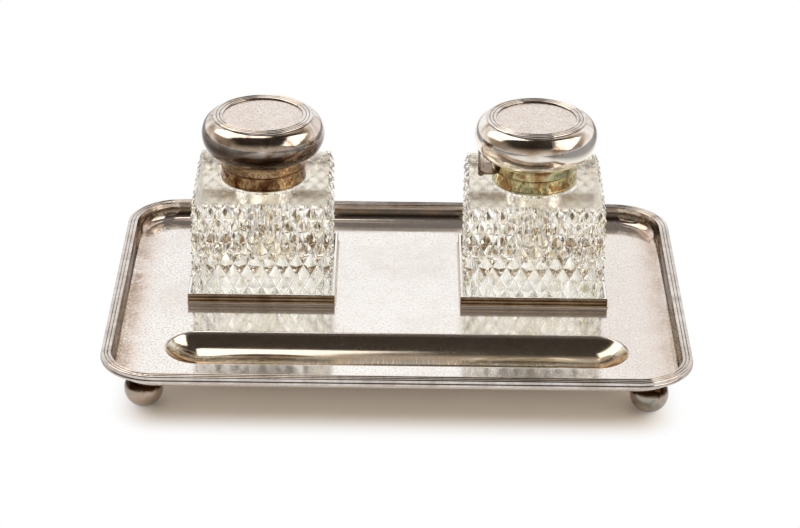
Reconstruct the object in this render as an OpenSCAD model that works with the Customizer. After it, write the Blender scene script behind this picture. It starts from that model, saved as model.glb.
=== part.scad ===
// Desk inkstand: an oblong tray with a reeded border on four ball feet, a pressed pen trough, and two
// diamond-cut glass inkwells that stand loose in square holders and have hinged bun-shaped lids.
// The origin is on the table under the tray's centre. +X is to the right, +Y to the back, +Z up.

/* [Tray] */
// Width of the tray over its border
tray_w = 254; // [220:1:320]
// Depth of the tray over its border
tray_d = 178; // [165:1:240]
// Outer radius of the tray's corners
corner_r = 25; // [16:1:40]
// Thickness of the tray's sheet
plate_t = 0.9; // [0.6:0.1:1.3]
// Height of the rim's top above the flat
rim_h = 7.2; // [5:0.5:12]
// Width of the cove that rises from the flat to the border
cove_w = 4.2; // [3:0.1:6]

/* [Border] */
// Width of the reeded border
border_w = 4.6; // [3.6:0.1:7]
// Height of the border on its outer face
border_h = 3.4; // [3:0.1:4.5]
// Number of reeds on the border's top
border_reeds = 3; // [2:1:5]

/* [Pen trough] */
// Distance from the tray's centre line forward to the trough's centre line
trough_y = 48; // [44:0.5:55]
// Half the width of the trough, where its rim leaves the flat
trough_half_w = 15.4; // [11:0.1:18]
// Length of the trough from rim to rim
trough_l = 202.6; // [120:0.2:205]
// Depth of the trough below the flat
trough_depth = 6.8; // [4:0.1:8]
// Radius of the trough's rolled rim
trough_rim_r = 1.8; // [1.4:0.1:2.5]

/* [Feet] */
// Radius of the ball feet
foot_r = 8.4; // [7.4:0.1:12]
// Distance from the tray's left or right edge in to a foot's centre
foot_in_x = 18.4; // [16:0.1:60]
// Distance from the tray's front or back edge in to a foot's centre
foot_in_y = 21.8; // [18:0.1:40]
// Depth of the flat worn on the underside of each ball
foot_wear = 0.15; // [0.05:0.05:0.5]
// Radius of the soldered neck between a ball and the tray
foot_neck_r = 3.4; // [2:0.1:5]
// Height of the sheet's underside above the top of the balls
foot_neck_h = 0.1; // [0.05:0.05:1.5]

/* [Bottle holders] */
// Distance from the tray's centre to each inkwell's centre, sideways
well_x = 61; // [45:0.5:80]
// Distance from the tray's centre line back to the inkwells' centres
well_y = 26; // [24:0.5:32]
// Height of the holders' reeded strip
holder_h = 4.8; // [3:0.1:8]
// Thickness of the holders' strip over its reeds
holder_t = 1.2; // [0.7:0.1:1.5]
// Number of reeds on the holders' strip
holder_reeds = 3; // [2:1:4]
// Clearance between a bottle and its holder on each side
holder_gap = 0.45; // [0.1:0.05:0.6]

/* [Cut glass] */
// Width of a bottle over the tips of its diamonds
glass_w = 62.6; // [56:0.1:68]
// Height of a bottle's body, from its base to its flat shoulder
glass_h = 47.9; // [36:0.1:60]
// Number of diamonds across a face
diamonds_across = 10; // [6:1:12]
// Height of one diamond
diamond_h = 11.2; // [9:0.1:16]
// Depth of the cuts between the diamonds
cut_depth = 2.1; // [1:0.1:2.5]
// Width left uncut at the tip of a diamond
tip_land = 0.3; // [0.2:0.05:0.8]
// Height of the bevel round the shoulder
shoulder_bevel = 2.6; // [1:0.1:5]
// Radius of the ink well and of the neck's bore
bore_r = 13; // [8:0.1:14]
// Thickness of the glass under the ink well
glass_floor = 11; // [6:0.5:18]
// Radius where the ink well's wall rounds into its floor
well_round = 5; // [2:0.5:7]
// Radius of the low round step that the collar stands on
step_r = 19.8; // [19.2:0.1:22]
// Height of the low round step above the flat shoulder
step_h = 0.9; // [0.4:0.1:2]
// Outer radius of the glass neck
neck_r = 17.2; // [16:0.1:18]
// Height of the glass neck above its step
neck_h = 11.8; // [10:0.1:16]

/* [Collar] */
// Radius of the collar over its plain wall
collar_r = 18.9; // [18.5:0.1:21]
// Thickness of the collar's wall
collar_t = 0.8; // [0.5:0.1:1]
// Radius of the flange under the lid
flange_r = 21; // [21:0.1:22.5]
// Thickness of the collar's top plate and flange
flange_t = 0.9; // [0.6:0.1:1.5]
// Height of the collar's lower band above its foot
band_h = 6.1; // [3:0.1:7]
// Height of the bezel that stands up inside the lid
bezel_h = 1.4; // [0.8:0.1:2]
// Difference between the collar's mouth radius and the glass bore's
mouth_ease = 0.4; // [0.2:0.1:1]

/* [Lid] */
// Radius of the lid at its widest
lid_r = 27.5; // [26.5:0.1:30]
// Height of the lid, from its flat base to the plate that carries its ring
lid_h = 16.3; // [13:0.1:20]
// Height of the widest part above the lid's base
lid_waist = 8.5; // [5:0.1:9.5]
// Width of the rounded side, from the widest part inward
lid_round_w = 6.3; // [5:0.1:7]
// Thickness of the lid's sheet
lid_t = 0.8; // [0.5:0.1:1.2]
// Gap between the closed lid and the collar's flange
lid_gap = 0.2; // [0.1:0.05:0.4]
// Clearance between the lid's mouth and the bezel
mouth_gap = 1; // [0.8:0.1:1.5]
// Inner radius of the reeded ring on the lid
ring_in_r = 17.9; // [14:0.1:19]
// Outer radius of the reeded ring on the lid
ring_out_r = 22.3; // [21:0.1:23]
// Height of the reeded ring
ring_h = 0.8; // [0.7:0.1:2]
// Number of reeds on the ring
ring_reeds = 3; // [2:1:4]
// Rise of the lid's domed lining
lining_rise = 8.6; // [5:0.1:10]
// Thickness of the lining's sheet
lining_t = 0.5; // [0.3:0.1:0.8]

/* [Hinge] */
// Distance from the inkwell's axis to the hinge pin's axis
hinge_out = 24.3; // [24:0.1:26]
// Height of the hinge pin's axis above the collar's foot
hinge_up = 4.5; // [3:0.1:6]
// Width of the hinge
hinge_w = 11; // [8:0.5:16]
// Width of the lid's middle knuckle
mid_knuckle_w = 4; // [3:0.1:6]
// Outer radius of the knuckles
knuckle_r = 1.35; // [1.1:0.05:1.7]
// Radius of the hinge pin
pin_r = 0.6; // [0.4:0.05:0.8]
// Radial clearance of the hinge pin in its knuckles
pin_gap = 0.05; // [0.02:0.01:0.1]
// Gap between neighbouring knuckles, and around the moving ones
knuckle_gap = 0.15; // [0.1:0.05:0.3]
// Thickness of the hinge leaves
leaf_t = 1; // [0.7:0.1:1.2]
// Radius of the pin's heads
pin_head_r = 1; // [0.8:0.1:1.3]
// Thickness of the pin's heads
pin_head_t = 0.5; // [0.3:0.1:1]
// Direction in which the left lid's hinge faces
left_hinge_turn = 90; // [0:90:270]
// Direction in which the right lid's hinge faces
right_hinge_turn = 180; // [0:90:270]

/* [Hidden] */
$fn = 96;

// Steps along an arc or curve in a section
arc_steps = 14;
// Length by which a cutting shape runs past what it cuts
past = 1;

// Heights above the table
foot_z = foot_r - foot_wear;
sheet_z = foot_z + foot_r + foot_neck_h;
flat_z = sheet_z + plate_t;
collar_z = flat_z + glass_h + step_h;
neck_top = collar_z + neck_h;
flange_top = neck_top + flange_t;
lid_base = flange_top + lid_gap;
lid_plate = lid_base + lid_h;
hinge_z = collar_z + hinge_up;

// Outline of the flat, inside the cove
flat_w = tray_w - 2 * (border_w + cove_w);
flat_d = tray_d - 2 * (border_w + cove_w);
flat_r = corner_r - border_w - cove_w;

// Reed round the border's outer edge, and the cove's flange that the border is soldered on
side_reed_r = 0.3 * border_h;
seat_w = border_w - 2 * side_reed_r - 0.1;
seat_up = rim_h - border_h / 2;

// The trough's bowl and rim are two arcs that touch
bowl_r = (trough_half_w * trough_half_w / trough_depth + trough_depth) / 2 - trough_rim_r;
bowl_z = bowl_r - trough_depth;
bowl_angle = atan2(trough_half_w, bowl_z + trough_rim_r);
trough_straight = trough_l - 2 * trough_half_w;

// Cut glass
glass_top = glass_h + step_h + neck_h;
glass_core = glass_w - 2 * cut_depth;
diamond_w = glass_w / diamonds_across;
cut_angle = atan2(diamond_w, diamond_h);
cut_spacing = diamond_w * cos(cut_angle);
cut_half_w = (cut_spacing - tip_land) / 2;

// Collar and lid
collar_in_r = collar_r - collar_t;
mouth_r = bore_r + mouth_ease;
bezel_r = collar_in_r;
bezel_in_r = bezel_r - collar_t;
lid_mouth_r = bezel_r + mouth_gap;
lid_round_in = lid_r - lid_round_w;
lid_low = lid_waist + 0.5;
lid_up = lid_h - lid_waist;
lining_r = lid_mouth_r + lining_t;
holder_in = glass_w + 2 * holder_gap;
holder_w = holder_in + 2 * holder_t;

function arc(cx, cy, r, a0, a1) = [
    for (i = [0:arc_steps])
        let (a = a0 + (a1 - a0) * i / arc_steps)
            [cx + r * cos(a), cy + r * sin(a)]
];
function oval(cx, cy, rx, ry, a0, a1, steps) = [
    for (i = [0:steps])
        let (a = a0 + (a1 - a0) * i / steps)
            [cx + rx * cos(a), cy + ry * sin(a)]
];

module rounded_oblong(w, d, r) {
    square([w - 2 * r, d], center = true);
    square([w, d - 2 * r], center = true);
    for (sx = [-1, 1], sy = [-1, 1])
        translate([sx * (w / 2 - r), sy * (d / 2 - r)])
            circle(r);
}

module stadium(length, r) {
    square([length - 2 * r, 2 * r], center = true);
    for (side = [-1, 1])
        translate([side * (length / 2 - r), 0])
            circle(r);
}

// Carries a section round a rounded oblong, its x = 0 on the oblong's edge
module around_oblong(w, d, r) {
    for (k = [0:3]) {
        along = (k % 2 == 0 ? d : w) / 2 - r;
        across = (k % 2 == 0 ? w : d) / 2 - r;
        rotate(90 * k) {
            translate([across, along, 0])
                rotate_extrude(angle = 90)
                    translate([r, 0])
                        children();
            rotate([90, 0, 0])
                linear_extrude(2 * along, center = true)
                    translate([across + r, 0])
                        children();
        }
    }
}

// Carries a section round a square with mitred corners, its x = 0 on the square's outer face
module around_square(side, height) {
    for (k = [0:3])
        rotate(90 * k)
            intersection() {
                rotate([90, 0, 0])
                    linear_extrude(side + 2 * past, center = true)
                        translate([side / 2, 0])
                            children();
                linear_extrude(height)
                    polygon([[0, 0], [side, -side], [side, side]]);
            }
}

// Row of half-round reeds of a strip that is w wide and stands h high, on a flat base
module reeded_strip(w, h, count) {
    pitch = w / count;
    reed_r = pitch * 0.62;
    intersection() {
        square([w, h]);
        union() {
            square([w, h - 0.4 * pitch]);
            for (i = [0:count - 1])
                translate([pitch * (i + 0.5), h - reed_r])
                    circle(reed_r);
        }
    }
}

// Sheet of the cove, with the flange that the border is soldered to
module cove_section() {
    end = cove_w + seat_w;
    polygon(concat(
        oval(0, seat_up, cove_w, seat_up, -90, 0, arc_steps),
        [[end, seat_up], [end, seat_up - plate_t]],
        oval(0, seat_up - plate_t, cove_w + plate_t, seat_up, 0, -90, arc_steps)
    ));
}

// Reeded moulding: reeds on top, one more round its outer edge, over the cove's flange
module border_section() {
    low = rim_h - border_h;
    translate([cove_w, seat_up])
        reeded_strip(border_w - side_reed_r * 0.4, rim_h - seat_up, border_reeds);
    translate([cove_w + seat_w, low])
        square([border_w - seat_w - side_reed_r, rim_h - seat_up + border_h / 4]);
    translate([cove_w + border_w - side_reed_r, low + side_reed_r])
        circle(side_reed_r);
}

// Sheet of the pressed trough from its centre line to where its rim meets the flat
module trough_section() {
    top = concat(
        [for (i = [0:arc_steps])
            let (a = bowl_angle * i / arc_steps)
                [bowl_r * sin(a), bowl_z - bowl_r * cos(a)]],
        [for (i = [arc_steps:-1:0])
            let (a = bowl_angle * i / arc_steps)
                [trough_half_w - trough_rim_r * sin(a), -trough_rim_r * (1 - cos(a))]]
    );
    under_r = trough_rim_r - plate_t;
    under = concat(
        [for (i = [0:arc_steps])
            let (a = bowl_angle * i / arc_steps)
                [trough_half_w - under_r * sin(a), -trough_rim_r + under_r * cos(a)]],
        [for (i = [arc_steps:-1:0])
            let (a = bowl_angle * i / arc_steps)
                [(bowl_r + plate_t) * sin(a), bowl_z - (bowl_r + plate_t) * cos(a)]]
    );
    polygon(concat(top, under));
}

module trough() {
    for (side = [-1, 1])
        translate([side * trough_straight / 2, 0, 0])
            rotate(-90 * side)
                rotate_extrude(angle = 180)
                    trough_section();
    rotate([90, 0, 90])
        linear_extrude(trough_straight, center = true) {
            trough_section();
            mirror([1, 0])
                trough_section();
        }
}

module tray_plate() {
    color("silver") {
        translate([0, 0, sheet_z])
            linear_extrude(plate_t)
                difference() {
                    rounded_oblong(flat_w, flat_d, flat_r);
                    translate([0, -trough_y])
                        stadium(trough_l, trough_half_w);
                }
        translate([0, 0, flat_z])
            around_oblong(flat_w, flat_d, flat_r)
                cove_section();
        translate([0, -trough_y, flat_z])
            trough();
    }
}

module tray_border() {
    color("lightgray")
        translate([0, 0, flat_z])
            around_oblong(flat_w, flat_d, flat_r)
                border_section();
}

// Ball foot, worn flat underneath, with the soldered neck that holds it to the tray
module foot(side_x, side_y) {
    top_angle = acos(foot_neck_r / foot_r);
    low_angle = -asin((foot_r - foot_wear) / foot_r);
    color("dimgray")
        translate([side_x * (tray_w / 2 - foot_in_x), side_y * (tray_d / 2 - foot_in_y), 0])
            rotate_extrude()
                polygon(concat(
                    [[0, 0]],
                    oval(0, foot_z, foot_r, foot_r, low_angle, top_angle, 2 * arc_steps),
                    [[foot_neck_r, sheet_z], [0, sheet_z]]
                ));
}

// Puts an inkwell's pieces at its place, turned so that its hinge faces the given way
module at_well(side) {
    turn = side < 0 ? left_hinge_turn : right_hinge_turn;
    translate([side * well_x, well_y, 0])
        rotate(turn)
            children();
}

module holder(side) {
    color("gray")
        translate([side * well_x, well_y, flat_z])
            around_square(holder_w, holder_h)
                translate([-holder_t, 0])
                    mirror([1, -1])
                        reeded_strip(holder_h, holder_t, holder_reeds);
}

// One V-shaped cut of the glass cutter's wheel, along +Y in the plane z = 0, outward being +Z
module wheel_cut(length) {
    slope = cut_half_w / cut_depth;
    rotate([90, 0, 0])
        linear_extrude(length, center = true)
            polygon([
                [0, -cut_depth],
                [slope * (cut_depth + past), past],
                [-slope * (cut_depth + past), past]
            ]);
}

// Crossing rows of cuts that leave pointed diamonds on a face w wide and h high
module diamond_cuts(w, h) {
    reach = h * diamond_w / diamond_h;
    rows = ceil((w + reach) / 2 / diamond_w);
    length = h / cos(cut_angle) + 4 * diamond_w;
    for (lean = [-1, 1], i = [-rows:rows - 1])
        translate([(i + 0.5) * diamond_w, 0, 0])
            rotate(lean * cut_angle)
                wheel_cut(length);
}

// Square block with a bevelled shoulder and diamonds cut into its four sides
module cut_block() {
    difference() {
        translate([-glass_w / 2, -glass_w / 2, 0])
            cube([glass_w, glass_w, glass_h]);
        for (k = [0:3])
            rotate(90 * k) {
                translate([0, -glass_w / 2, glass_h / 2])
                    rotate([90, 0, 0])
                        diamond_cuts(glass_w, glass_h);
                translate([0, -glass_core / 2, glass_h])
                    rotate([90, 0, 90])
                        linear_extrude(glass_w + 2 * past, center = true)
                            polygon([[0, 0], [-2 * cut_depth, -2 * shoulder_bevel], [-2 * cut_depth, 0]]);
            }
    }
}

module ink_well() {
    rotate_extrude()
        polygon(concat(
            [[0, glass_floor]],
            arc(bore_r - well_round, glass_floor + well_round, well_round, -90, 0),
            [[bore_r, glass_top + past], [0, glass_top + past]]
        ));
}

module bottle(side) {
    color("lightcyan")
        at_well(side)
            translate([0, 0, flat_z])
                difference() {
                    union() {
                        cut_block();
                        translate([0, 0, glass_h - past])
                            cylinder(h = step_h + past, r = step_r);
                        translate([0, 0, glass_h - past])
                            cylinder(h = glass_top - glass_h + past, r = neck_r);
                    }
                    ink_well();
                }
}

module neck_plaster(side) {
    color("ivory")
        at_well(side)
            translate([0, 0, collar_z])
                difference() {
                    cylinder(h = neck_h, r = collar_in_r);
                    translate([0, 0, -past])
                        cylinder(h = neck_h + 2 * past, r = neck_r);
                }
}

// Section of the collar: a lower band with a bead, a plain upper wall, a coved flange and the bezel
module collar_section() {
    bead = 0.25;
    bead_h = 0.8;
    flare = flange_r - collar_r;
    top = neck_h + flange_t;
    polygon(concat(
        [
            [collar_in_r, 0],
            [collar_r + bead, 0],
            [collar_r + bead, bead_h],
            [collar_r, bead_h + bead],
            [collar_r, band_h - bead],
            [collar_r + bead, band_h],
            [collar_r + bead, band_h + bead],
            [collar_r - bead, band_h + 2 * bead]
        ],
        oval(flange_r, neck_h - flare, flare + bead, flare, 180, 90, arc_steps),
        [
            [flange_r, top],
            [bezel_r, top],
            [bezel_r, top + bezel_h],
            [bezel_in_r, top + bezel_h],
            [bezel_in_r, top],
            [mouth_r, top],
            [mouth_r, neck_h],
            [collar_in_r, neck_h]
        ]
    ));
}

module collar(side) {
    color("peru")
        at_well(side)
            translate([0, 0, collar_z])
                rotate_extrude()
                    collar_section();
}

// Outer form of the lid as a solid of revolution on its flat base
module bun(inset) {
    rx = lid_round_w - inset;
    low = lid_low - inset;
    up = lid_up - inset;
    start = -asin((lid_waist - inset) / low);
    rotate_extrude()
        polygon(concat(
            [[0, inset]],
            oval(lid_round_in, lid_waist, rx, low, start, 0, arc_steps),
            oval(lid_round_in, lid_waist, rx, up, 90 / arc_steps, 90, arc_steps - 1),
            [[0, lid_h - inset]]
        ));
}

module lid_shell(side) {
    color("silver")
        at_well(side)
            translate([0, 0, lid_base])
                difference() {
                    bun(0);
                    bun(lid_t);
                    translate([0, 0, -past])
                        cylinder(h = lid_t + 2 * past, r = lid_mouth_r);
                }
}

module lid_ring(side) {
    color("gainsboro")
        at_well(side)
            translate([0, 0, lid_plate])
                rotate_extrude()
                    translate([ring_in_r, 0])
                        reeded_strip(ring_out_r - ring_in_r, ring_h, ring_reeds);
}

// Domed lining that closes the lid from below
module lid_lining(side) {
    color("goldenrod")
        at_well(side)
            translate([0, 0, lid_base + lid_t])
                rotate_extrude()
                    polygon(concat(
                        oval(0, 0, lining_r, lining_rise, 0, 90, 2 * arc_steps),
                        oval(0, 0, lining_r - lining_t, lining_rise - lining_t, 90, 0, 2 * arc_steps)
                    ));
}

module knuckle(width) {
    rotate([90, 0, 0])
        cylinder(h = width, r = knuckle_r, center = true);
}

module pin_bore() {
    translate([hinge_out, 0, hinge_z])
        rotate([90, 0, 0])
            cylinder(h = hinge_w + 2 * past, r = pin_r + pin_gap, center = true);
}

// Leaf soldered to the collar, with the two outer knuckles
module collar_leaf(side) {
    notch_w = mid_knuckle_w + 2 * knuckle_gap;
    knuckle_w = (hinge_w - notch_w) / 2;
    notch_r = knuckle_r + knuckle_gap;
    color("tan")
        at_well(side)
            difference() {
                union() {
                    translate([0, -hinge_w / 2, hinge_z - leaf_t / 2])
                        cube([hinge_out, hinge_w, leaf_t]);
                    for (end = [-1, 1])
                        translate([hinge_out, end * (notch_w + knuckle_w) / 2, hinge_z])
                            knuckle(knuckle_w);
                }
                translate([hinge_out - notch_r, -notch_w / 2, hinge_z - notch_r])
                    cube([2 * notch_r, notch_w, 2 * notch_r]);
                translate([0, 0, collar_z])
                    cylinder(h = neck_h, r = collar_r);
                pin_bore();
            }
}

module hinge_pin(side) {
    reach = hinge_w / 2 + pin_gap;
    color("dimgray")
        at_well(side)
            translate([hinge_out, 0, hinge_z])
                rotate([90, 0, 0]) {
                    cylinder(h = 2 * reach, r = pin_r, center = true);
                    for (end = [-1, 1])
                        translate([0, 0, end * (reach + pin_head_t / 2)])
                            cylinder(h = pin_head_t, r = pin_head_r, center = true);
                }
}

// Leaf that hangs from the lid's underside down to the middle knuckle
module lid_leaf(side) {
    outer = hinge_out + knuckle_r;
    foot = knuckle_r + knuckle_gap;
    color("darkgray")
        at_well(side)
            difference() {
                union() {
                    translate([outer - leaf_t, -hinge_w / 2, hinge_z + foot])
                        cube([leaf_t, hinge_w, lid_base + lid_waist - hinge_z - foot]);
                    translate([outer - leaf_t, -mid_knuckle_w / 2, hinge_z])
                        cube([leaf_t, mid_knuckle_w, foot + leaf_t]);
                    translate([hinge_out, 0, hinge_z])
                        knuckle(mid_knuckle_w);
                }
                translate([0, 0, lid_base])
                    bun(0);
                pin_bore();
            }
}

tray_plate();
tray_border();
foot(-1, -1);  // foot_front_left
foot(1, -1);  // foot_front_right
foot(-1, 1);  // foot_back_left
foot(1, 1);  // foot_back_right
holder(-1);  // left_holder
holder(1);  // right_holder
bottle(-1);  // left_bottle
bottle(1);  // right_bottle
neck_plaster(-1);  // left_neck_plaster
neck_plaster(1);  // right_neck_plaster
collar(-1);  // left_collar
collar(1);  // right_collar
collar_leaf(-1);  // left_collar_leaf
collar_leaf(1);  // right_collar_leaf
hinge_pin(-1);  // left_hinge_pin
hinge_pin(1);  // right_hinge_pin
lid_shell(-1);  // left_lid_shell
lid_shell(1);  // right_lid_shell
lid_ring(-1);  // left_lid_ring
lid_ring(1);  // right_lid_ring
lid_lining(-1);  // left_lid_lining
lid_lining(1);  // right_lid_lining
lid_leaf(-1);  // left_lid_leaf
lid_leaf(1);  // right_lid_leaf
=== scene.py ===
import math

import bmesh
import bpy
from mathutils import Matrix, Vector


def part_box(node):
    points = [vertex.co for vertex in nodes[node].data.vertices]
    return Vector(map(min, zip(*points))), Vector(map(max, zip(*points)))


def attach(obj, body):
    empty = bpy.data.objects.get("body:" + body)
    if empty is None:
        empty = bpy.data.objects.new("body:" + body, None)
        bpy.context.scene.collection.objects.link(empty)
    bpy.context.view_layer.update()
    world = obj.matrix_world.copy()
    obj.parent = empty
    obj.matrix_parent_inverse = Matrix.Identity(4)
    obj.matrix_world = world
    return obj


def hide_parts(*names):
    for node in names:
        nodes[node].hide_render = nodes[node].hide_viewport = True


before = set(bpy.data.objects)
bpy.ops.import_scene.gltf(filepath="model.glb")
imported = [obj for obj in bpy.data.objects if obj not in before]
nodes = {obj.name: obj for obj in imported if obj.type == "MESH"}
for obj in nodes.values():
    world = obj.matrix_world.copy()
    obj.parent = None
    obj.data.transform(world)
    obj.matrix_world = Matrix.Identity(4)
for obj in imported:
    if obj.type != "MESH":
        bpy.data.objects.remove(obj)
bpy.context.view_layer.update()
SIDES = ("left", "right")
FEET = ("foot_front_left", "foot_front_right", "foot_back_left", "foot_back_right")

# Sizes of the real piece in mm, as in the part's source
MM = 0.001
TRAY_W, TRAY_D, TRAY_CORNER = 254.0, 178.0, 25.0
PLATE_T, COVE_W, SEAT_UP = 0.9, 4.2, 5.5
BORDER_W, RIM_H, SIDE_REED_R = 4.6, 7.2, 1.02
TROUGH_Y, TROUGH_L, TROUGH_HALF, TROUGH_DEPTH, TROUGH_RIM = -48.0, 202.6, 15.4, 6.8, 1.8
FOOT_R, FOOT_NECK, FOOT_NECK_H = 8.4, 3.4, 0.1
WELL_X, WELL_Y = 61.0, 26.0
GLASS_W, GLASS_H, DIAMONDS_ACROSS, DIAMOND_H = 62.6, 47.9, 10, 11.2
HOLDER_H, HOLDER_T, HOLDER_GAP = 4.8, 1.2, 0.45
COLLAR_R, COLLAR_T, FLANGE_R, FLANGE_T = 18.9, 0.8, 21.0, 0.9
BAND_H, NECK_H, BEZEL_H, MOUTH_R = 6.1, 11.8, 1.4, 13.4
LID_R, LID_H, LID_WAIST, LID_ROUND, LID_T, LID_MOUTH = 27.5, 16.3, 8.5, 6.3, 0.8, 19.1
LINING_RISE, LINING_T = 8.6, 0.5

# Worked out from them: the sheet's flange under the border, the tray's flat, a diamond and a holder
SEAT_W = BORDER_W - 2 * SIDE_REED_R - 0.1
FLAT_W = TRAY_W - 2 * (BORDER_W + COVE_W)
FLAT_D = TRAY_D - 2 * (BORDER_W + COVE_W)
FLAT_R = TRAY_CORNER - BORDER_W - COVE_W
DIAMOND_W = GLASS_W / DIAMONDS_ACROSS
HOLDER_W = GLASS_W + 2 * (HOLDER_GAP + HOLDER_T)

# Heights above the table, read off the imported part
FLAT_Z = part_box("tray_border")[1].z / MM - RIM_H
COLLAR_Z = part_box("left_collar")[0].z / MM
LID_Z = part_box("left_lid_shell")[0].z / MM

# The photograph's camera, solved from the tray's corners: places in mm, turns in degrees
PHOTO_W = 800
FOCAL_PX = 2783.311
SENSOR_W = 36
CAMERA_AIM = (0.961, 30.842, 20.0)
CAMERA_AWAY = 1279.157
CAMERA_RISE, CAMERA_YAW, CAMERA_ROLL = 26.41, -0.069, 0.735

# The studio, in metres and in watts per square metre and steradian
LAMP_AWAY = 1.0
LAMP_RADIANCE = 1.7
LAMP_COLOUR = "FFF6EA"
FLOOR_SIZE = 6.0

# How near two points are to count as one, in metres
WELD = 1e-7
WELD_RUNS = 1e-6

# Settings that many nodes share
COLOURS = {"data_type": "RGBA"}
TINTED = {"data_type": "RGBA", "blend_type": "MULTIPLY"}
SMOOTH = {"interpolation_type": "SMOOTHSTEP"}


def linear(code):
    """An sRGB hex colour as linear RGBA."""
    parts = [int(code[i:i + 2], 16) / 255 for i in (0, 2, 4)]
    return tuple(c / 12.92 if c <= 0.04045 else ((c + 0.055) / 1.055) ** 2.4 for c in parts) + (1.0,)


def per_mm(size):
    """Scale of a pattern whose features are size mm across."""
    return 1 / (size * MM)


def add(tree, kind, *values, stops=(), **settings):
    """Adds a node. Values fill its open sockets in order, or by name from a dict.

    A value is a number, a hex colour, a socket, or a node that gives its first open output. A noise takes
    its place, scale, detail, roughness, lacunarity and distortion, and a map range takes a value, its low
    and high ends, and what these two become.
    """
    made = tree.nodes.new("ShaderNode" + kind)
    for name, value in settings.items():
        setattr(made, name, value)
    if values and isinstance(values[0], dict):
        pairs = [(made.inputs[name], value) for name, value in values[0].items()]
    else:
        pairs = zip([socket for socket in made.inputs if socket.enabled], values)
    for socket, value in pairs:
        if isinstance(value, bpy.types.Node):
            value = next(output for output in value.outputs if output.enabled)
        if isinstance(value, bpy.types.NodeSocket):
            tree.links.new(value, socket)
        else:
            socket.default_value = linear(value) if isinstance(value, str) else value
    if stops:
        elements = made.color_ramp.elements
        while len(elements) < len(stops):
            elements.new(1.0)
        for element, (place, colour) in zip(elements, stops):
            element.position = place
            element.color = linear(colour)
    return made


def material(name):
    """An empty material and the Object coordinates that its patterns read."""
    made = bpy.data.materials.new(name)
    made.use_nodes = True
    tree = made.node_tree
    tree.nodes.clear()
    return made, tree, add(tree, "TexCoord").outputs["Object"]


# Materials
def grime(tree, reach, low=0.35, high=0.85):
    """0 on open metal, 1 deep in grooves and corners of reach mm, which no cloth polishes."""
    open_sky = add(tree, "AmbientOcclusion", {"Distance": reach * MM}, samples=6).outputs["AO"]
    return add(tree, "MapRange", open_sky, high, low)


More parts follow.
